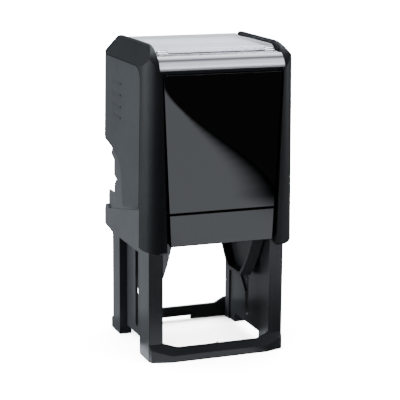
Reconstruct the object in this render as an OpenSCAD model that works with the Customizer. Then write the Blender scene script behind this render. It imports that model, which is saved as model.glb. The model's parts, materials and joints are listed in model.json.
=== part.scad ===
// Self-inking stamp for a 40 mm square text plate.
// X is across the front, +Y points to the rear and +Z is up. The stamp stands at rest with its
// cap up and its rubber die facing up against the ink pad. All sizes are in millimetres.
// Modules are drawn with the swivel axle at y = 0; placed() then centres the whole stamp.

/* [Cap] */
// Width of the cap at the lower end of its posts
cap_w = 58.2; // [57.6:0.1:58.6]
// Width of the cap at its shoulders
cap_top_w = 56.4; // [56.2:0.1:57]
// Front plane of the cap, measured from the axle
cap_front = -28; // [-28.4:0.1:-27.8]
// Rear plane of the cap, measured from the axle
cap_rear = 27; // [26.8:0.1:27.4]
// Height of the whole stamp at rest
total_h = 114; // [113.8:0.1:116]
// Radius of the cap's upright front corners
front_corner_r = 8; // [6:0.5:8]
// Radius of the cap's upright rear corners
rear_corner_r = 6.5; // [5:0.5:6.5]
// Height of the lower end of the cap's front posts
post_z = 41; // [40:0.5:42]

/* [Frame] */
// Width over the frame's columns
frame_w = 52; // [51.6:0.1:52.2]
// Clear width between the columns
gate_w = 41.2; // [41:0.1:41.6]
// Front plane of the columns, measured from the axle
front_y = -22.4; // [-22.5:0.1:-22.2]
// Rear plane of the columns, measured from the axle
rear_y = 20.6; // [20.2:0.1:20.8]
// Rear end of the ledge behind the columns
ledge_y = 30.5; // [29.5:0.5:31]
// Underside of the closed upper part of the side walls
skirt_z = 38.1; // [37.5:0.1:38.5]

/* [Mechanism] */
// Travel of the cap
stroke = 34; // [33.5:0.5:34]
// Width and depth of the text plate
plate_size = 40; // [38:0.5:40]
// Distance from the swivel axle to the printing surface
die_reach = 8; // [8:0.1:8.2]
// Radius of the swivel axle
axle_r = 1.5; // [1.4:0.1:1.6]
// Running clearance between the axle and the yoke
axle_gap = 0.06; // [0.03:0.01:0.08]
// Distance from the swivel axle to the guide pin
pin_reach = 8; // [7:0.5:8]
// Mean radius of the two return springs
spring_r = 4; // [3.8:0.1:4.2]
// Wire diameter of the return springs
wire_d = 0.8; // [0.6:0.1:0.9]
// Number of turns of each return spring
spring_turns = 9; // [7:1:10]

/* [Hidden] */
$fn = 48;
eps = 0.01;
big = 200;

frame_x = frame_w / 2;
gate_x = gate_w / 2;
centre_shift = -(cap_front + ledge_y) / 2; // puts the middle of the footprint at y = 0
axle_z = stroke + die_reach;             // axle height at rest; the die meets z = 0 when pressed

// Side wall of the frame, from inside to outside: web, channel for the yoke arm, outer skin
web_in = 21.3;
web_out = 23.1;
groove_floor = 22.1;
arm_in = 23.3;
arm_out = 24.4;
skin_in = 24.6;
upper_skin_out = 25.3;
frame_top = 71.3;
notch_z = 53.6;                          // lower edge of the gap for the ink cartridge
window_y = 11.9;                         // half length of the side recess
web_front = -14;
web_rear = 16.5;
arch_z = 3.5;                            // raised lower edge between the feet
shoulder_front = [front_y, 56];
shoulder_rear = [ledge_y, 45.4];

// Ink pad, spring seat and cap deck
pad_face = axle_z + die_reach + 0.2;
tray_rim_z = 53.4;
tray_floor_z = 55.8;
tray_top_z = 57.2;
seat_z = 60.5;
deck_z = 108;
deck_t = 1.4;
yoke_z = 106;
spring_x = 11;

// Cap front
sill_y = -22.9;                          // inner face of the cap's front wall
panel_back = -25.2;
panel_face = -27.3;
panel_z0 = 55.4;
panel_z1 = 104.1;
lip_z0 = 104.3;                          // lip between the panel and the window's rolled edge
lip_z1 = 105.3;
strip_z0 = 43.2;
strip_z1 = 54.7;
gate_top_x = 22.7;                       // half width between the cap's front rims at the top
gate_low_x = 20.9;                       // and at the bottom
panel_gap_top = 0.45;                    // groove beside the panel and the strip at the top
panel_gap_low = 1.6;                     // and at the bottom
inner_x = 27;
inner_rear = 25.5;
rear_sill_z = 82.3;                      // lower edge of the cap's rear wall
rear_top_z = 100.6;                      // where the cap's rear face starts to slope inwards
well_x = 23.5;                           // half width of the well in the cap's top
window_x = 23.3;
lip_face = -26.2;

function arc(c, r, a0, a1, n = 10) =
    [for (i = [0:n]) let (a = a0 + (a1 - a0) * i / n) c + r * [cos(a), sin(a)]];

// Places a drawing made about the axle into the stamp's own frame
module placed() {
    translate([0, centre_shift, 0]) children();
}

// Draws its children on the left and mirrored on the right
module both_sides() {
    children();
    mirror([1, 0, 0]) children();
}

// Block from corner to corner
module block(a, b) {
    translate([min(a[0], b[0]), min(a[1], b[1]), min(a[2], b[2])])
        cube([abs(b[0] - a[0]), abs(b[1] - a[1]), abs(b[2] - a[2])]);
}

// Side view outline (y, z) extruded between two x values
module side_plate(x0, x1, points) {
    translate([min(x0, x1), 0, 0])
        rotate([90, 0, 90])
            linear_extrude(abs(x1 - x0)) polygon(points);
}

// Front view outline (x, z) extruded between two y values
module front_plate(y0, y1, points) {
    translate([0, max(y0, y1), 0])
        rotate([90, 0, 0])
            linear_extrude(abs(y1 - y0)) polygon(points);
}

// Plan outline (x, y) extruded between two z values
module plan_plate(z0, z1, points) {
    translate([0, 0, z0])
        linear_extrude(z1 - z0) polygon(points);
}

// Round bar along X
module x_bar(x0, x1, y, z, r) {
    translate([min(x0, x1), y, z])
        rotate([0, 90, 0]) cylinder(h = abs(x1 - x0), r = r);
}

shoulder_z = total_h - 7.2;
flare = atan((cap_w - cap_top_w) / 2 / (shoulder_z - post_z));

// Half of the cap, bounded by its rounded left flank, which leans outwards towards the bottom
module left_flank(inset) {
    x = -cap_top_w / 2 + inset;
    rr = rear_corner_r - inset;
    fr = front_corner_r - inset;
    translate([x, 0, shoulder_z])
        rotate([0, flare, 0])
            translate([0, 0, -total_h])
                linear_extrude(2 * total_h)
                    polygon(concat(
                        [[big, cap_rear - inset]],
                        arc([rr, cap_rear - inset - rr], rr, 90, 180),
                        arc([fr, cap_front + inset + fr], fr, 180, 270),
                        [[big, cap_front + inset]]
                    ));
}

// Front view outline of the cap's bevelled top
function cap_front_view(inset) =
    let (x = cap_top_w / 2 - inset, z = shoulder_z - inset, top = total_h - inset)
    [
        [-big, post_z - 1], [big, post_z - 1], [big, z], [x, z], [x - 3.8, top - 0.4],
        [x - 4.4, top], [-x + 4.4, top], [-x + 3.8, top - 0.4], [-x, z], [-big, z]
    ];

// The cap's lower rear edge is cut back in a bevelled curve (y, z) that uncovers the end of the
// ink cartridge: once on the inside of the wall and once on its outer face
cut_inner = [
    [cap_rear + 0.5, 74.8], [24, 73.2], [18, 71.6], [12.7, 69.8], [9.3, 68], [7.6, 65.4],
    [6.7, 62], [5.8, 57], [5.1, 52.3]
];
cut_outer = [
    [cap_rear + 0.5, 76.8], [22, 74.9], [14, 73.3], [7, 71.7], [3.5, 69.5], [1.6, 66.4],
    [0.4, 62.6], [-1.2, 57.5], [-2.6, 52.3]
];
cut_corner = [[cap_rear + 4, 52.3], [cap_rear + 4, 74.8]];

// Side view outline of the cap
cap_side_view = concat(
    [[cap_front, post_z + 0.6], [cap_front + 0.6, post_z]],
    [[-20.2, post_z + 1.4], [-20.2, 56.5]],
    [for (i = [len(cut_inner) - 1:-1:0]) cut_inner[i]],
    [[cap_rear, rear_top_z], [cap_rear - 3.4, total_h - 7], [17.5, total_h - 0.4],
     [15, total_h]],
    arc([cap_front + 12.8, total_h - 12.8], 12.8, 90, 180, 14)
);

// Solid with three matching outlines (y, z) at three x values
module loft(xs, outlines) {
    n = len(outlines[0]);
    polyhedron(
        points = [for (k = [0:2], q = outlines[k]) [xs[k], q[0], q[1]]],
        faces = concat(
            [[for (i = [n - 1:-1:0]) i]],
            [for (k = [0:1], i = [0:n - 1])
                let (a = k * n + i, b = k * n + (i + 1) % n) [a, b, a + n]],
            [for (k = [0:1], i = [0:n - 1])
                let (a = k * n + i, b = k * n + (i + 1) % n) [a + n, b, b + n]],
            [[for (i = [0:n - 1]) 2 * n + i]]
        )
    );
}

// Cutter for the bevel along the curved edge of the left side wall
module edge_bevel() {
    inside = concat(cut_inner, cut_corner);
    outside = concat(cut_outer, cut_corner);
    loft([-26.9, -28.4, -31], [inside, outside, outside]);
}

// Solid outer form of the cap, drawn in by inset on its sides, before its edge is bevelled
module cap_form(inset = 0) {
    intersection() {
        left_flank(inset);
        mirror([1, 0, 0]) left_flank(inset);
        front_plate(cap_front - 1, cap_rear + 1, cap_front_view(inset));
        side_plate(-cap_w, cap_w, cap_side_view);
    }
}

// Outline of a side grip panel (y, z); it runs round the rear corner
function grip_outline(gap) = concat(
    [[cap_rear + 1, total_h - 7.4 - gap]],
    arc([-15 + gap, total_h - 12.4 - gap], 5, 90, 180, 6),
    arc([-19 + gap, 57.6], 1, 180, 260, 3),
    [[-2, 52], [cap_rear + 1, 52]]
);

grip_t = 0.55;
grip_gap = 0.35;

// Space of one side grip panel, on the left
module grip_space(gap) {
    side_plate(-cap_w, -22.9 - gap, grip_outline(gap));
}

// Room that the rear of the frame takes up inside the pressed cap
module rear_relief() {
    block([-26.3, 18, 0], [26.3, cap_rear + 1, rear_sill_z]);
    both_sides()
        block([-upper_skin_out - 0.4, 18, 0], [-skin_in + 0.4, cap_rear + 1, notch_z + stroke]);
}

// Half width of the cap's side face at a height
function side_x(z) = cap_top_w / 2 + (shoulder_z - z) * tan(flare);

rib_z = [97.7, 93.4, 89.2, 85.2];
rib_r = 0.38;
rib_proud = 0.25;

module left_grip_panel() {
    difference() {
        intersection() {
            cap_form();
            grip_space(grip_gap);
        }
        cap_form(grip_t);
        side_plate(-cap_w, -22, concat(cut_outer, cut_corner));
        rear_relief();
    }
    // finger ribs
    for (z = rib_z)
        translate([-side_x(z) + rib_r - rib_proud, 2, z])
            rotate([-90, 0, 0]) cylinder(h = 9.6, r = rib_r);
}

// ---- Frame ----

module front_bar() {
    intersection() {
        side_plate(-frame_x, frame_x,
            [[-21.2, 0], [-21.2, 6.3], [front_y, 6.3], [-26.2, 2.3], [-26.2, 0]]);
        plan_plate(-1, 10,
            [[-frame_x, -20], [-frame_x, -22], [-25.5, -24], [-18.5, -26], [18.5, -26],
             [25.5, -24], [frame_x, -22], [frame_x, -20],
             [gate_x, -20], [gate_x - 0.6, front_y], [15.5, -23.6], [-15.5, -23.6],
             [-gate_x + 0.6, front_y], [-gate_x, -20]]);
    }
    // centring mark on the inner edge
    block([-0.3, -23.8, 3], [0.3, -23.3, 5.4]);
}

module rear_bar() {
    difference() {
        union() {
            front_plate(21.2, 22.6,
                [[-gate_x - 1, 0], [gate_x + 1, 0], [gate_x + 1, 7.6], [gate_x, 7.6], [16.5, 5.5],
                 [-16.5, 5.5], [-gate_x, 7.6], [-gate_x - 1, 7.6]]);
            both_sides()
                plan_plate(0, 4,
                    [[-frame_x, rear_y - 1], [-gate_x, rear_y - 1], [-gate_x, 23.4], [-25, 23.4],
                     [-frame_x, 22.4]]);
        }
        block([-gate_x, 20, -1], [6.5, 25, 1.5]);
    }
}

// Path of the guide pin as the cap goes down (y, z), by the carrier's angle
function pin_path(a) =
    [pin_reach * sin(a), axle_z - stroke * a / 180 - pin_reach * cos(a)];

// Edge of the guide groove, off to one side of the pin's path
function groove_edge(a, off) =
    let (
        along = [pin_reach * cos(a), pin_reach * sin(a) - stroke / PI],
        across = [-along[1], along[0]] / norm(along)
    )
    pin_path(a) + off * across;

// Guide groove of the carrier's pin, cut into the inner face of the web
module cam_groove() {
    half = axle_r + 0.3;
    step = 10;
    // near the middle the inner edge would cross itself, so it runs straight there
    side_plate(-groove_floor, -21, concat(
        [for (a = [0:step:180]) groove_edge(a, half)],
        [for (a = [180:-step:120]) groove_edge(a, -half)],
        [for (a = [60:-step:0]) groove_edge(a, -half)]
    ));
    for (a = [0, 180])
        x_bar(-groove_floor, -21, pin_path(a)[0], pin_path(a)[1], half);
}

module axle_slot() {
    half = axle_r + 0.1;
    block([-23.5, -half, axle_z - stroke], [-20, half, axle_z]);
    x_bar(-23.5, -20, 0, axle_z, half);
    x_bar(-23.5, -20, 0, axle_z - stroke, half);
}

module frame_side() {
    difference() {
        union() {
            // web with the guide slots
            block([-web_in, web_front - 1, arch_z], [-web_out, web_rear + 1, frame_top]);
            // front and rear columns
            block([-gate_x, front_y, 0], [-frame_x, web_front, skirt_z]);
            block([-web_in, web_front - 1, 0], [-frame_x, -window_y, skirt_z]);
            block([-web_in, window_y, 0], [-frame_x, web_rear + 1, skirt_z]);
            block([-gate_x, web_rear, 0], [-frame_x, rear_y, skirt_z]);
            // the columns carry on upwards behind the cap
            block([-gate_x, front_y, skirt_z - 1], [-upper_skin_out, web_front, frame_top]);
            block([-gate_x, web_rear, skirt_z - 1], [-skin_in - eps, 19, frame_top]);
            block([-web_in, web_front - 1, skirt_z - 1], [-skin_in - eps, -window_y, frame_top]);
            block([-web_in, window_y, skirt_z - 1], [-skin_in - eps, web_rear + 1, frame_top]);
            // outer skin up to the sloping shoulder
            side_plate(-skin_in, -frame_x,
                [[front_y, skirt_z], [rear_y, skirt_z], [ledge_y, skirt_z + 1.3],
                 shoulder_rear, [29.2, 47.6], [26.8, 47.9], [24.9, 46.6], shoulder_front]);
            // thinner skin above the shoulder, notched for the ink cartridge
            side_plate(-skin_in, -upper_skin_out,
                [[front_y, 50], [20, 42], [27.4, 44], [27.4, 50.7], [27, notch_z],
                 [20.4, notch_z], [20, 57.3], [17.6, 59.4], [20.6, 60.5], [20.6, 66.4],
                 [24.1, 68.2], [22.3, frame_top], [front_y, frame_top]]);
            // rail that carries the ink cartridge
            block([-gate_x + 0.4, -19, tray_rim_z - 1.4], [-web_in - eps, 19, tray_rim_z]);
        }
        axle_slot();
        cam_groove();
        // raised lower edge between the feet
        block([-20, -10.7, -1], [-frame_x - 1, 10.4, arch_z]);
    }
}

module rear_ledge() {
    difference() {
        side_plate(-skin_in - 0.5, skin_in + 0.5,
            [[21.2, 38.1], [ledge_y, skirt_z + 1.3], shoulder_rear, [29.2, 47.6], [21.2, 47.6]]);
        side_plate(-skin_in + 1, skin_in - 1,
            [[22.8, 40.4], [28.9, 40.9], [28.9, 50], [22.8, 50]]);
    }
}

module base_frame() {
    color("dimgray") placed() {
        both_sides() frame_side();
        front_bar();
        rear_bar();
        rear_ledge();
    }
}

module top_bridge() {
    color("#2b2d30") placed() {
        difference() {
            block([-web_in, web_front, seat_z - 2], [web_in, 16, seat_z]);
            block([-5, -11, 0], [5, 11, big]);
        }
        // rings that hold the springs' feet
        for (side = [-1, 1])
            translate([side * spring_x, 0, seat_z])
                difference() {
                    cylinder(h = 1.5, r = spring_r + 2);
                    translate([0, 0, -1]) cylinder(h = 4, r = spring_r + 0.8);
                }
        // stiffening flanges
        for (y = [web_front, 14.8])
            block([-web_in, y, seat_z - eps], [web_in, y + 1.2, seat_z + 3]);
    }
}

// Helical wire between two heights, swept as one closed skin
module coil(z0, z1, r, wire, turns) {
    per_turn = 20;
    ring = 8;
    n = turns * per_turn;
    points = [
        for (i = [0:n], k = [0:ring - 1])
            let (
                a = 360 * i / per_turn,
                // the end turns lie flat on their seats
                t = i / n,
                flat = 1.0 / turns,
                s = t < flat ? 0 : t > 1 - flat ? 1 : (t - flat) / (1 - 2 * flat),
                z = z0 + wire / 2 + wire * (t < flat ? t / flat : 1)
                    + s * (z1 - z0 - 3 * wire) + (t > 1 - flat ? wire * (t - 1 + flat) / flat : 0),
                b = 360 * k / ring,
                rr = r + wire / 2 * cos(b)
            )
            [rr * cos(a), rr * sin(a), z + wire / 2 * sin(b)]
    ];
    faces = concat(
        [[for (k = [0:ring - 1]) k]],
        [for (i = [0:n - 1], k = [0:ring - 1])
            let (p = i * ring + k, q = i * ring + (k + 1) % ring) [p, p + ring, q + ring, q]],
        [[for (k = [ring - 1:-1:0]) n * ring + k]]
    );
    polyhedron(points = points, faces = faces, convexity = 10);
}

module return_spring(side) {
    color("silver") placed()
        translate([side * spring_x, 0, 0])
            coil(seat_z, yoke_z, spring_r, wire_d, spring_turns);
}

module ink_tray() {
    tray_x = 20.5;
    tray_y = 21;
    lip_x = 21.1;
    color("#26282b") placed() {
        difference() {
            union() {
                block([-tray_x, -tray_y, tray_rim_z], [tray_x, tray_y, tray_top_z]);
                // side lips between the columns
                block([-lip_x, web_front + 0.2, tray_rim_z], [lip_x, web_rear - 0.2, tray_top_z]);
            }
            block([-19.8, -20, tray_rim_z - 1], [19.8, 20, tray_floor_z]);
        }
        // finger grip at the rear
        difference() {
            block([-9, tray_y - 1, tray_rim_z], [9, 25.4, tray_top_z]);
            for (z = [tray_rim_z + 0.8, tray_rim_z + 2.2])
                block([-10, 25, z], [10, 26, z + 0.7]);
        }
    }
}

module ink_felt() {
    color("#1c1c3a") placed()
        block([-19.7, -19.9, pad_face], [19.7, 19.9, tray_floor_z]);
}

// ---- Cap ----

// Half width of the opening between the front rims, wider at the top
function gate_half(z) = gate_low_x + (gate_top_x - gate_low_x) * (z - post_z) / (lip_z0 - post_z);

// Half width of the panel and the strip, which leave a groove beside each rim
function panel_half(z) =
    gate_half(z) - panel_gap_low
    + (panel_gap_low - panel_gap_top) * (z - post_z) / (lip_z0 - post_z);

// Opening between the front rims up to a height (x, z)
function front_gate(top) = [
    [-gate_half(post_z - 2), post_z - 2], [gate_half(post_z - 2), post_z - 2],
    [gate_half(top), top], [-gate_half(top), top]
];

module cap_inside() {
    x = inner_x;
    y = inner_rear;
    r = 2.5;
    intersection() {
        plan_plate(0, deck_z,
            concat([[x, sill_y]], arc([x - r, y - r], r, 0, 90, 6),
                arc([-x + r, y - r], r, 90, 180, 6), [[-x, sill_y]]));
        side_plate(-x, x,
            [[sill_y, 0], [y, 0], [y, rear_top_z - 0.4], [y - 3.6, deck_z - 1.4],
             [y - 4, deck_z], [sill_y, deck_z]]);
    }
}

module cap_shell() {
    color("#1f2123") placed() {
        difference() {
            cap_form();
            both_sides() edge_bevel();
            cap_inside();
            rear_relief();
            // recess between the front rims for the panel and the strip
            front_plate(cap_front - 1, panel_back, front_gate(lip_z0));
            // the lip above the panel stands back from the rims
            block([-gate_top_x, cap_front - 1, lip_z0 - 0.5], [gate_top_x, lip_face, lip_z1]);
            // open below the strip
            front_plate(cap_front - 1, sill_y + 1,
                [[-gate_low_x, 0], [gate_low_x, 0], [gate_low_x, 44], [-gate_low_x, 44]]);
            // well for the card tray and the window, with its rolled front edge
            block([-well_x, cap_front - 1, deck_z + deck_t], [well_x, 21.3, total_h + 1]);
            block([-well_x, cap_front - 1, lip_z1], [well_x, sill_y - 0.6, total_h]);
            block([-well_x, cap_front - 1, deck_z + 0.9], [well_x, sill_y + 0.5, total_h]);
            // seats of the side grips
            both_sides() difference() {
                grip_space(0);
                cap_form(grip_t + 0.05);
            }
            // opening with a rebate for the rear panel
            block([-21.5, 24, rear_sill_z - 1], [21.5, cap_rear + 1, rear_top_z - 1.5]);
            block([-22.6, 26.1, rear_sill_z - 1], [22.6, cap_rear + 1, rear_top_z - 0.7]);
        }
    }
}

module left_grip() {
    color("#55595c") placed() left_grip_panel();
}

module right_grip() {
    color("#55595c") placed() mirror([1, 0, 0]) left_grip_panel();
}

module front_panel() {
    low = panel_half(panel_z0);
    high = panel_half(panel_z1);
    color("#0b0b0c") placed()
        front_plate(panel_back, panel_face,
            [[-low, panel_z0], [low, panel_z0], [high, panel_z1], [-high, panel_z1]]);
}

module front_strip() {
    low = panel_half(strip_z0);
    high = panel_half(strip_z1);
    color("#303236") placed()
        front_plate(panel_back, panel_face,
            [[-low, strip_z0], [low, strip_z0], [high, strip_z1], [-high, strip_z1]]);
}

module rear_panel() {
    color("#0b0b0c") placed() {
        block([-21.3, inner_rear, rear_sill_z], [21.3, 26.12, rear_top_z - 1.7]);
        block([-22.4, 26.12, rear_sill_z], [22.4, cap_rear, rear_top_z - 1]);
    }
}

module yoke() {
    color("#2b2d30") placed() {
        difference() {
            union() {
                both_sides() {
                    block([-arm_in, -5, axle_z], [-arm_out, 5, 60]);
                    block([-arm_in, -8, 59], [-arm_out, 8, deck_z]);
                    x_bar(-arm_in, -arm_out, 0, axle_z, 5);
                }
                block([-arm_out, -12, yoke_z], [arm_out, 12, deck_z]);
            }
            x_bar(-30, 30, 0, axle_z, axle_r + axle_gap);
        }
        // posts that guide the springs
        for (side = [-1, 1])
            translate([side * spring_x, 0, yoke_z - 10.5])
                cylinder(h = 11, r = spring_r - wire_d / 2 - 0.5);
    }
}

module card_tray() {
    z = deck_z + deck_t;
    color("#3a3c40") placed()
        difference() {
            block([-22.4, -20.6, z], [22.4, 19.8, z + 1]);
            block([-21.6, -21, z + 0.6], [21.6, 19, z + 2]);
        }
}

module index_card() {
    z = deck_z + deck_t + 0.6;
    color("white") placed()
        block([-21.4, -20.4, z], [21.4, 18.8, z + 0.3]);
}

window_z = total_h - 1.3;
window_t = 0.9;

// Outline of the clear window in side view: flat top, crease, step and rolled front edge
window_outer = concat(
    [[20.9, deck_z + deck_t], [20.9, window_z - 0.5], [20.4, window_z], [-17, window_z],
     [-21.8, window_z - 1.5], [-22.3, window_z - 2.2], [-23, window_z - 2.35]],
    arc([-20.4, 104.3], 6.6, 118, 168, 8)
);
window_inner = concat(
    arc([-20.4, 104.3], 6.6 - window_t, 168, 112, 8),
    [[-21.4, window_z - 3.2], [-21, window_z - 2.4], [-17, window_z - window_t],
     [20.9 - window_t, window_z - window_t], [20.9 - window_t, deck_z + deck_t]]
);

module index_window() {
    color("gainsboro", 0.5) placed() {
        side_plate(-window_x, window_x, concat(window_outer, window_inner));
        // side skirts that stand on the deck
        both_sides()
            side_plate(-window_x, -window_x + window_t,
                [[20.9, deck_z + deck_t], [20.9, window_z - 0.5], [-17, window_z - 0.1],
                 [-21.6, window_z - 1.6], [-21.6, deck_z + deck_t]]);
        // corner blocks of the front snap hooks
        both_sides()
            block([-window_x + eps, -21.2, window_z - 2.3], [-window_x + 5, -18.8, window_z - 1.2]);
    }
}

// ---- Swivelling die carrier ----

ear = [
    [-19.3, 1], [-13.5, -9], [-9.6, -14.3], [-6, -18], [6, -18], [9.6, -14.3], [13.5, -9],
    [19.3, 1]
];
ear_inner = [
    [-17.8, 1], [-12.3, -8.3], [-8.7, -13.3], [-5.5, -16.6], [5.5, -16.6], [8.7, -13.3],
    [12.3, -8.3], [17.8, 1]
];

module type_carrier() {
    color("#3d4043") placed()
        translate([0, 0, axle_z]) {
            both_sides() {
                difference() {
                    side_plate(-15.7, -20.2, ear);
                    side_plate(-10, -18.7, ear_inner);
                }
                // bosses, swivel axle and guide pin
                x_bar(-16.5, -19, 0, 0, 4);
                x_bar(-19, -arm_out, 0, 0, axle_r);
                x_bar(-19, -groove_floor + 0.15, 0, -pin_reach, axle_r);
            }
            // back plate
            block([-20.2, -19.3, 0.8], [20.2, 19.3, 2.4]);
            // rim that the text plate clips over
            difference() {
                block([-20.2, -19.3, 2.3], [20.2, 19.3, 4.4]);
                block([-18.6, -17.7, 2.2], [18.6, 17.7, 5]);
            }
            // ribs under the text plate
            for (y = [-9, 0, 9])
                block([-18.7, y - 0.6, 2.3], [18.7, y + 0.6, 4.4]);
        }
}

plate_half = plate_size / 2;

module text_plate() {
    color("#d8d8d2") placed()
        translate([0, 0, axle_z])
            block([-plate_half, -plate_half + 0.4, 4.4], [plate_half, plate_half - 0.4, 5.4]);
}

module die_cushion() {
    color("#c9b98a") placed()
        translate([0, 0, axle_z])
            block([-19.2, -19, 5.4], [19.2, 19, 6.3]);
}

// Rubber sheet with a plain raised pattern: a border, rules and a round target
module rubber_die() {
    color("#7a2f2a") placed()
        translate([0, 0, axle_z]) {
            block([-19, -18.8, 6.3], [19, 18.8, 7.3]);
            difference() {
                block([-18.4, -18.2, 7.2], [18.4, 18.2, die_reach]);
                block([-17.4, -17.2, 7.1], [17.4, 17.2, 9]);
            }
            for (y = [-12, -8, 8, 12])
                block([-13, y - 0.5, 7.2], [13, y + 0.5, die_reach]);
            for (r = [2.5, 5])
                translate([0, 0, 7.2])
                    difference() {
                        cylinder(h = die_reach - 7.2, r = r);
                        translate([0, 0, -1]) cylinder(h = 3, r = r - 0.9);
                    }
        }
}

base_frame();
top_bridge();
return_spring(-1);  // return_spring_left
return_spring(1);  // return_spring_right
ink_tray();
ink_felt();
cap_shell();
left_grip();
right_grip();
front_panel();
front_strip();
rear_panel();
yoke();
card_tray();
index_card();
index_window();
type_carrier();
text_plate();
die_cushion();
rubber_die();
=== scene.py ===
"""A self-inking stamp on a pale floor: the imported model, with its materials, light and camera."""

import json
import math

import bmesh
import bpy
import mathutils.noise
from mathutils import Matrix, Vector


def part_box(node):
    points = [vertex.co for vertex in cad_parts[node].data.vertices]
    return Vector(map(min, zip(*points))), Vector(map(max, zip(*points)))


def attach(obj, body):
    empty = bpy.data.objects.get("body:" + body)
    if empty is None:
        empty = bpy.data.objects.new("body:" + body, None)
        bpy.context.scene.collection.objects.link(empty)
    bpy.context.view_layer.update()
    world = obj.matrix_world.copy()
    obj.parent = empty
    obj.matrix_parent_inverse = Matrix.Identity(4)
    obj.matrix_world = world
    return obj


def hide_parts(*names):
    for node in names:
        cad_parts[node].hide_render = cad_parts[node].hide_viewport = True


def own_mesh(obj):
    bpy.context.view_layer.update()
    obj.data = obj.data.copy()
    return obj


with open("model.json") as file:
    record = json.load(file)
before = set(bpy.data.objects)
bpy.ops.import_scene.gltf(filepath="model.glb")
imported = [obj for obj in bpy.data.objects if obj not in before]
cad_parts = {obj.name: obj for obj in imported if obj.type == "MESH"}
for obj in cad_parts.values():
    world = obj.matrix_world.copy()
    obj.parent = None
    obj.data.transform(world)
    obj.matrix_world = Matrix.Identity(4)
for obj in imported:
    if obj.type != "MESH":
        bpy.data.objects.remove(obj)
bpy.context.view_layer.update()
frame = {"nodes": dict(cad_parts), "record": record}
nodes = frame["nodes"]
mm = 0.001


# ---- materials -------------------------------------------------------------------------------


def new_material(name):
    """A material with its node tree and its Principled shader."""
    material = bpy.data.materials.new(name)
    material.use_nodes = True
    tree = material.node_tree
    return material, tree, tree.nodes["Principled BSDF"]


def link(tree, out_node, out_name, in_node, in_name):
    """Joins one node's named output to another node's named input."""
    tree.links.new(out_node.outputs[out_name], in_node.inputs[in_name])


def noise(tree, scale, detail=3.0, roughness=0.55, stretch=(1, 1, 1)):
    """A noise texture in object space, scale in features per metre."""
    place = tree.nodes.new("ShaderNodeTexCoord")
    mapping = tree.nodes.new("ShaderNodeMapping")
    mapping.inputs["Scale"].default_value = stretch
    texture = tree.nodes.new("ShaderNodeTexNoise")
    texture.inputs["Scale"].default_value = scale
    texture.inputs["Detail"].default_value = detail
    texture.inputs["Roughness"].default_value = roughness
    link(tree, place, "Object", mapping, "Vector")
    link(tree, mapping, "Vector", texture, "Vector")
    return texture


def ramp(tree, source, low, high, colour_low, colour_high):
    """Turns a noise's Fac into a colour between two colours."""
    node = tree.nodes.new("ShaderNodeValToRGB")
    node.color_ramp.elements[0].position = low
    node.color_ramp.elements[1].position = high
    node.color_ramp.elements[0].color = (*colour_low, 1)
    node.color_ramp.elements[1].color = (*colour_high, 1)
    link(tree, source, "Fac", node, "Fac")
    return node


def spread(tree, source, low, high):
    """Turns a noise's Fac into a number between low and high."""
    node = tree.nodes.new("ShaderNodeMapRange")
    node.inputs["From Min"].default_value = 0.3
    node.inputs["From Max"].default_value = 0.7
    node.inputs["To Min"].default_value = low
    node.inputs["To Max"].default_value = high
    tree.links.new(source.outputs["Fac"], node.inputs["Value"])
    return node


def plastic(name, colour, roughness, grain=0.0, specular=0.5):
    """Moulded plastic: a slight cloudiness of colour and gloss, and a fine spark-eroded grain."""
    grain_scale = 2500
    grain_depth = 0.12 * mm
    material, tree, shader = new_material(name)
    cloud = noise(tree, 60, detail=4)
    dark = [c * 0.9 for c in colour]
    light = [min(1, c * 1.1) for c in colour]
    tint = ramp(tree, cloud, 0.35, 0.65, dark, light)
    link(tree, tint, "Color", shader, "Base Color")
    gloss = spread(tree, noise(tree, 180, detail=5), roughness * 0.92, roughness * 1.08)
    link(tree, gloss, "Result", shader, "Roughness")
    shader.inputs["Specular IOR Level"].default_value = specular
    if grain:
        bump = tree.nodes.new("ShaderNodeBump")
        bump.inputs["Strength"].default_value = grain
        bump.inputs["Distance"].default_value = grain_depth
        link(tree, noise(tree, grain_scale, detail=2), "Fac", bump, "Height")
        link(tree, bump, "Normal", shader, "Normal")
    return material


def felt_material(name, colour):
    """Ink-soaked felt: drawn-out fibres that break up its colour and surface."""
    material, tree, shader = new_material(name)
    fibres = noise(tree, 1400, detail=6, stretch=(1, 2.5, 1))
    dark = [c * 0.5 for c in colour]
    tint = ramp(tree, fibres, 0.35, 0.7, dark, colour)
    link(tree, tint, "Color", shader, "Base Color")
    shader.inputs["Roughness"].default_value = 0.85
    shader.inputs["Sheen Weight"].default_value = 0.3
    bump = tree.nodes.new("ShaderNodeBump")
    bump.inputs["Strength"].default_value = 0.7
    bump.inputs["Distance"].default_value = 0.4 * mm
    link(tree, fibres, "Fac", bump, "Height")
    link(tree, bump, "Normal", shader, "Normal")
    return material


def metal_material(name, colour):
    """Drawn spring wire."""
    material, tree, shader = new_material(name)
    drawn = noise(tree, 900, detail=5, stretch=(1, 1, 6))
    tint = ramp(tree, drawn, 0.3, 0.7, [c * 0.85 for c in colour], colour)
    link(tree, tint, "Color", shader, "Base Color")
    shader.inputs["Metallic"].default_value = 1.0
    gloss = spread(tree, drawn, 0.22, 0.36)
    link(tree, gloss, "Result", shader, "Roughness")
    return material


def paper_material(name, colour):
    """Plain matt card."""
    material, tree, shader = new_material(name)
    fibre = noise(tree, 700, detail=6)
    tint = ramp(tree, fibre, 0.3, 0.7, [c * 0.97 for c in colour], colour)
    link(tree, tint, "Color", shader, "Base Color")
    shader.inputs["Roughness"].default_value = 0.75
    bump = tree.nodes.new("ShaderNodeBump")
    bump.inputs["Strength"].default_value = 0.15
    bump.inputs["Distance"].default_value = 0.1 * mm
    link(tree, fibre, "Fac", bump, "Height")
    link(tree, bump, "Normal", shader, "Normal")
    return material


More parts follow.
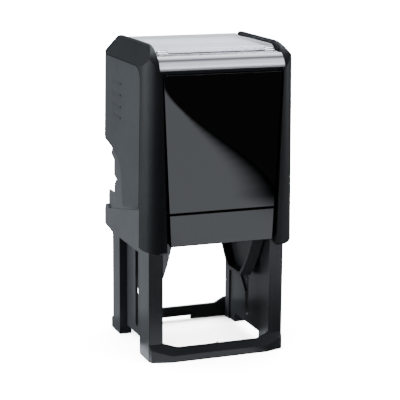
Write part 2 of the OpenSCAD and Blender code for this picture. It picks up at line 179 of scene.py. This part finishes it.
def height_ramp(tree, height, low, high, stops):
    """A colour that changes with a height in millimetres; stops are (share of the way, grey)."""
    share = tree.nodes.new("ShaderNodeMapRange")
    share.inputs["From Min"].default_value = low * mm
    share.inputs["From Max"].default_value = high * mm
    tree.links.new(height, share.inputs["Value"])
    node = tree.nodes.new("ShaderNodeValToRGB")
    node.color_ramp.interpolation = "EASE"
    first, last = node.color_ramp.elements
    first.position, last.position = stops[0][0], stops[-1][0]
    elements = [first] + [node.color_ramp.elements.new(at) for at, _ in stops[1:-1]] + [last]
    for element, (_, grey) in zip(elements, stops):
        element.color = (grey, grey, grey * 1.02, 1)
    link(tree, share, "Result", node, "Fac")
    return node


def clear_material(name):
    """Clear plastic. Its rolled front edge is opaque and coloured with a painted reflection: a grey
    that is dark at the foot, bright low down and near black at the top.
    """
    roughness = 0.06
    # in front of the first Y the rolled edge is opaque and carries the painted reflection
    painted_roll_to, clear_from = -25.2 * mm, -24.2 * mm
    roll_foot, roll_top = 105.4, 110.4
    material, tree, shader = new_material(name)
    gloss = spread(tree, noise(tree, 90, detail=3), roughness * 0.7, roughness * 1.3)
    link(tree, gloss, "Result", shader, "Roughness")
    shader.inputs["IOR"].default_value = 1.49
    place = tree.nodes.new("ShaderNodeTexCoord")
    split = tree.nodes.new("ShaderNodeSeparateXYZ")
    link(tree, place, "Object", split, "Vector")
    edge = tree.nodes.new("ShaderNodeMapRange")
    edge.inputs["From Min"].default_value = painted_roll_to
    edge.inputs["From Max"].default_value = clear_from
    link(tree, split, "Y", edge, "Value")
    link(tree, edge, "Result", shader, "Transmission Weight")
    # painted reflection: the rolled edge's grey changes with height, dark at the foot, bright low
    # down, near black at the top
    painted_roll_reflection = height_ramp(
        tree, split.outputs["Z"], roll_foot, roll_top,
        [(0.0, 0.1), (0.12, 0.6), (0.25, 1.0), (0.5, 0.8), (0.7, 0.15), (1.0, 0.01)])
    tint = tree.nodes.new("ShaderNodeMix")
    tint.data_type = "RGBA"
    link(tree, edge, "Result", tint, "Factor")
    tree.links.new(painted_roll_reflection.outputs["Color"], tint.inputs[6])
    tint.inputs[7].default_value = (0.94, 0.94, 0.97, 1)
    tree.links.new(tint.outputs[2], shader.inputs["Base Color"])
    return material


def rubber_material(name, colour, wet=0.0):
    """Rubber or foam with a fine grain, and a wet coat where it is inked."""
    material, tree, shader = new_material(name)
    grain = noise(tree, 1600, detail=4)
    tint = ramp(tree, grain, 0.3, 0.7, [c * 0.8 for c in colour], colour)
    link(tree, tint, "Color", shader, "Base Color")
    shader.inputs["Roughness"].default_value = 0.6
    shader.inputs["Coat Weight"].default_value = wet
    shader.inputs["Coat Roughness"].default_value = 0.2
    bump = tree.nodes.new("ShaderNodeBump")
    bump.inputs["Strength"].default_value = 0.35
    bump.inputs["Distance"].default_value = 0.1 * mm
    link(tree, grain, "Fac", bump, "Height")
    link(tree, bump, "Normal", shader, "Normal")
    return material


looks = {
    "frame_plastic": plastic("frame_plastic", (0.055, 0.058, 0.061), 0.3, 0.08, specular=0.32),
    "inner_plastic": plastic("inner_plastic", (0.02, 0.021, 0.023), 0.45, 0.12),
    "tray_plastic": plastic("tray_plastic", (0.025, 0.026, 0.029), 0.45, 0.12),
    "cap_plastic": plastic("cap_plastic", (0.0175, 0.019, 0.02), 0.42, 0.05, specular=0.15),
    "grip_plastic": plastic("grip_plastic", (0.028, 0.031, 0.033), 0.5, 0.12, specular=0.4),
    "panel_gloss": plastic("panel_gloss", (0.0015, 0.0015, 0.0018), 0.012),
    "strip_plastic": plastic("strip_plastic", (0.012, 0.013, 0.016), 0.1),
    "spring_steel": metal_material("spring_steel", (0.6, 0.6, 0.62)),
    "ink_felt": felt_material("ink_felt", (0.02, 0.02, 0.035)),
    "card": paper_material("card", (0.6, 0.6, 0.63)),
    "clear_plastic": clear_material("clear_plastic"),
    "carrier_plastic": plastic("carrier_plastic", (0.04, 0.043, 0.047), 0.38, 0.1),
    "plate_plastic": plastic("plate_plastic", (0.5, 0.5, 0.48), 0.45, 0.1),
    "cushion_foam": rubber_material("cushion_foam", (0.5, 0.43, 0.28)),
    "die_rubber": rubber_material("die_rubber", (0.14, 0.035, 0.03), wet=0.3),
}


# ---- the CAD pieces --------------------------------------------------------------------------


def smooth_shading_group(limit):
    """Geometry nodes that shade a mesh smooth, with sharp edges above an angle."""
    group = bpy.data.node_groups.new("smooth shading", "GeometryNodeTree")
    group.interface.new_socket("Geometry", in_out="INPUT", socket_type="NodeSocketGeometry")
    group.interface.new_socket("Geometry", in_out="OUTPUT", socket_type="NodeSocketGeometry")
    start = group.nodes.new("NodeGroupInput")
    end = group.nodes.new("NodeGroupOutput")
    plain = group.nodes.new("GeometryNodeRemoveAttribute")
    plain.inputs["Name"].default_value = "custom_normal"
    faces = group.nodes.new("GeometryNodeSetShadeSmooth")
    faces.domain = "FACE"
    edges = group.nodes.new("GeometryNodeSetShadeSmooth")
    edges.domain = "EDGE"
    angle = group.nodes.new("GeometryNodeInputMeshEdgeAngle")
    below = group.nodes.new("FunctionNodeCompare")
    below.operation = "LESS_THAN"
    below.inputs["B"].default_value = math.radians(limit)
    link(group, start, "Geometry", plain, "Geometry")
    link(group, plain, "Geometry", faces, "Geometry")
    link(group, faces, "Geometry", edges, "Geometry")
    link(group, angle, "Unsigned Angle", below, "A")
    link(group, below, "Result", edges, "Shade Smooth")
    link(group, edges, "Geometry", end, "Geometry")
    return group


# degrees between two faces from which the edge between them is sharp
sharp_above = 26
smooth_group = smooth_shading_group(sharp_above)


def soften(obj, width):
    """Joins a CAD piece's faces, shades its curves smooth and rounds its edges a little, as
    moulded plastic has them. The CAD mesh itself stays as it is: these are all modifiers."""
    seam_gap = 0.002 * mm
    nearly_flat = 0.6
    weld = obj.modifiers.new("weld", "WELD")
    weld.merge_threshold = seam_gap
    if width:
        flat = obj.modifiers.new("join flat faces", "DECIMATE")
        flat.decimate_type = "DISSOLVE"
        flat.angle_limit = math.radians(nearly_flat)
    shade = obj.modifiers.new("smooth shading", "NODES")
    shade.node_group = smooth_group
    if width:
        bevel = obj.modifiers.new("edge rounding", "BEVEL")
        bevel.width = width * mm
        bevel.segments = 3
        bevel.limit_method = "ANGLE"
        bevel.angle_limit = math.radians(sharp_above)
        bevel.use_clamp_overlap = True
        bevel.harden_normals = True
        bevel.miter_outer = "MITER_ARC"


# radius of the rounded edges, in mm
edge_rounding = {
    "base_frame": 0.3, "top_bridge": 0.2, "ink_tray": 0.25, "cap_shell": 0.35,
    "left_grip": 0.3, "right_grip": 0.3, "front_panel": 0.15, "front_strip": 0.2,
    "rear_panel": 0.15, "yoke": 0.2, "card_tray": 0.15, "index_window": 0.15,
    "type_carrier": 0.25, "text_plate": 0.15, "die_cushion": 0.1,
}

# direct light reaches the card through the clear window
nodes["index_window"].visible_shadow = False

slot_of = {part["node"]: part["material_slot"] for part in frame["record"]["subparts"]}
for name, obj in nodes.items():
    obj.data.materials.clear()
    obj.data.materials.append(looks[slot_of[name]])
    soften(obj, edge_rounding.get(name, 0))


# Each return spring gets a mesh of its own.
for side in ("left", "right"):
    spring = nodes["return_spring_" + side]
    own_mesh(spring)


def make_ink_felt():
    """The ink pad as a felt block: soft edges and a slightly uneven face."""
    low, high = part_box("ink_felt")
    size = high - low
    centre = (low + high) / 2
    across, deep = 36, 6
    edge = 0.9 * mm
    bumps_per_metre, bump_height = 180, 0.12 * mm
    mesh = bmesh.new()
    bmesh.ops.create_cube(mesh, size=1)
    for cuts, axis in ((across, 0), (across, 1), (deep, 2)):
        runs = [e for e in mesh.edges if abs((e.verts[0].co - e.verts[1].co)[axis]) > 0.5]
        bmesh.ops.subdivide_edges(mesh, edges=runs, cuts=cuts, use_grid_fill=True)
    for v in mesh.verts:
        p = Vector(v.co[i] * size[i] for i in range(3))
        core = Vector(max(-size[i] / 2 + edge, min(size[i] / 2 - edge, p[i])) for i in range(3))
        out = p - core
        if out.length > edge:
            p = core + out.normalized() * edge
        uneven = mathutils.noise.noise(p * bumps_per_metre) * bump_height
        p.z += abs(uneven) if p.z < 0 else 0
        v.co = centre + p
    data = bpy.data.meshes.new("ink_felt_pad")
    mesh.to_mesh(data)
    for face in data.polygons:
        face.use_smooth = True
    pad = bpy.data.objects.new("ink_felt_pad", data)
    bpy.context.collection.objects.link(pad)
    data.materials.append(looks["ink_felt"])
    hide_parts("ink_felt")
    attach(pad, "frame")
    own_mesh(pad)


make_ink_felt()


# ---- floor, light and camera -----------------------------------------------------------------


def make_floor():
    """A plain pale floor that only the camera sees."""
    bpy.ops.mesh.primitive_plane_add(size=12, location=(0, 0, 0))
    floor = bpy.context.object
    floor.name = "floor"
    material, _, shader = new_material("floor")
    shader.inputs["Base Color"].default_value = (0.88, 0.88, 0.88, 1)
    shader.inputs["Roughness"].default_value = 0.9
    shader.inputs["Specular IOR Level"].default_value = 0.1
    floor.data.materials.append(material)
    # the floor is lit far brighter than the stamp, so its own bounce is left out
    floor.visible_glossy = False
    floor.visible_diffuse = False
    floor.visible_transmission = False
    return floor


def light_only(light, *receivers):
    """The light falls only on these objects; everything still casts its shadow in it."""
    group = bpy.data.collections.new(light.name + "_receivers")
    for obj in receivers:
        group.objects.link(obj)
    light.light_linking.receiver_collection = group


def area_light(name, place, aim, size, power, colour=(1, 1, 1)):
    """A rectangular soft light, turned towards a point."""
    data = bpy.data.lights.new(name, "AREA")
    data.shape = "RECTANGLE"
    data.size, data.size_y = size
    data.energy = power
    data.color = colour
    obj = bpy.data.objects.new(name, data)
    bpy.context.collection.objects.link(obj)
    obj.location = place
    obj.rotation_euler = (Vector(aim) - Vector(place)).to_track_quat("-Z", "Y").to_euler()
    return obj


def reflector_edge(depth):
    """Right-hand edge (x) of the low reflector at a distance in front of the stamp. It is an S
    about its middle, and closer in than turn it spreads again, below the panel's reflection."""
    middle, turn = 0.43, 0.26
    edge_at_middle, slope, narrowest = 0.160, 0.145, 0.122
    away = depth - middle
    bow = 0.72 if away > 0 else 3.0
    s_curve = edge_at_middle + slope * away + bow * away ** 3
    return max(narrowest, s_curve) + 0.6 * max(0, turn - depth)


def glow_card(name, rows, strength, colour):
    """A glowing card lying on the floor that only gloss sees. Each row of points is (bright end,
    start of the fade, dark end)."""
    mesh = bmesh.new()
    fade = mesh.loops.layers.uv.new("fade")
    grid = [[mesh.verts.new((x, y, 0.5 * mm)) for x, y in row] for row in rows]
    for near, far in zip(grid, grid[1:]):
        for k in (0, 1):
            face = mesh.faces.new((near[k], near[k + 1], far[k + 1], far[k]))
            for loop, along in zip(face.loops, (0, k, k, 0)):
                loop[fade].uv = (along, 0)
    data = bpy.data.meshes.new(name)
    mesh.to_mesh(data)
    card = bpy.data.objects.new(name, data)
    bpy.context.collection.objects.link(card)
    material = bpy.data.materials.new(name)
    material.use_nodes = True
    tree = material.node_tree
    tree.nodes.clear()
    uv = tree.nodes.new("ShaderNodeUVMap")
    uv.uv_map = "fade"
    split = tree.nodes.new("ShaderNodeSeparateXYZ")
    falloff = tree.nodes.new("ShaderNodeMapRange")
    falloff.interpolation_type = "SMOOTHSTEP"
    falloff.inputs["To Min"].default_value = strength
    falloff.inputs["To Max"].default_value = 0.0
    glow = tree.nodes.new("ShaderNodeEmission")
    glow.inputs["Color"].default_value = (*colour, 1)
    out = tree.nodes.new("ShaderNodeOutputMaterial")
    link(tree, uv, "UV", split, "Vector")
    link(tree, split, "X", falloff, "Value")
    link(tree, falloff, "Result", glow, "Strength")
    link(tree, glow, "Emission", out, "Surface")
    data.materials.append(material)
    card.visible_camera = False
    card.visible_diffuse = False
    card.visible_shadow = False
    card.visible_transmission = False


def front_card_rows():
    """The bright floor in front of the stamp, whose curved right-hand edge shows in the panel."""
    near, far, left, steps = 0.06, 1.1, 0.03, 44
    # closer in than these depths the right edge is blurred, and the left edge moves right
    sharp_from, straight_from = 0.55, 0.19
    rows = []
    for i in range(steps + 1):
        depth = near + (far - near) * i / steps
        edge = reflector_edge(depth)
        soft = 0.002 + 0.05 * max(0, sharp_from - depth)
        start = left + 0.3 * max(0, straight_from - depth)
        rows.append([(start, -depth), (edge - 1.5 * soft, -depth), (edge + 0.3 * soft, -depth)])
    return rows


def band_rows(left, fade_from, right, depths):
    """A straight card between two distances along Y that fades out to the right."""
    return [[(left, y), (fade_from, y), (right, y)] for y in depths]


def make_world(strength):
    """A faint even light from all round."""
    world = bpy.data.worlds.new("studio")
    world.use_nodes = True
    background = world.node_tree.nodes["Background"]
    background.inputs["Color"].default_value = (1, 1, 1, 1)
    background.inputs["Strength"].default_value = strength
    bpy.context.scene.world = world


def make_camera(target, azimuth, elevation, roll, distance, lens):
    """A camera that looks at a point, from azimuth degrees right of the front and elevation up."""
    data = bpy.data.cameras.new("camera")
    data.lens = lens
    data.sensor_width = 36
    camera = bpy.data.objects.new("camera", data)
    bpy.context.collection.objects.link(camera)
    az, el = math.radians(azimuth), math.radians(elevation)
    back = Vector((math.sin(az) * math.cos(el), -math.cos(az) * math.cos(el), math.sin(el)))
    camera.location = Vector(target) + back * distance
    turn = back.to_track_quat("Z", "Y").to_matrix()
    camera.rotation_euler = (turn @ Matrix.Rotation(math.radians(roll), 3, "Z")).to_euler()
    bpy.context.scene.camera = camera


cool = (0.9, 0.95, 1.02)
middle = (0, 0, 0.06)

floor = make_floor()
glow_card("front_card", front_card_rows(), 2.35, cool)
glow_card("gate_card", band_rows(-0.03, 0.012, 0.022, depths=(-0.06, -0.005)), 2.0, cool)
glow_card("rear_card", band_rows(-0.9, 0.25, 0.45, depths=(0.03, 0.9)), 0.45, cool)

area_light("key_left", (-1.0, 0.2, 0.2), middle, size=(1.0, 0.7), power=20, colour=cool)
area_light("fill_right", (0.9, -0.15, 0.3), middle, size=(0.7, 0.7), power=6, colour=cool)
area_light("top", (0.1, 0.42, 1.1), middle, size=(1.2, 0.8), power=20, colour=cool)
area_light("back", (0.66, 1.5, 0.5), middle, size=(1.0, 0.8), power=4, colour=cool)
backdrop = area_light("floor_light", (0, 0.5, 1.7), (0, 0.5, 0), size=(6, 6), power=3600)
light_only(backdrop, floor)
window_light = area_light(
    "window_light", (0.1, -0.7, 0.4), (0, 0, 0.1), size=(0.5, 0.4), power=5, colour=cool)
light_only(window_light, nodes["index_window"])
make_world(strength=0.06)

make_camera(
    target=(0.0018, -0.00125, 0.0531), azimuth=-20.85, elevation=12.73, roll=0.455,
    distance=0.5262, lens=126.9)
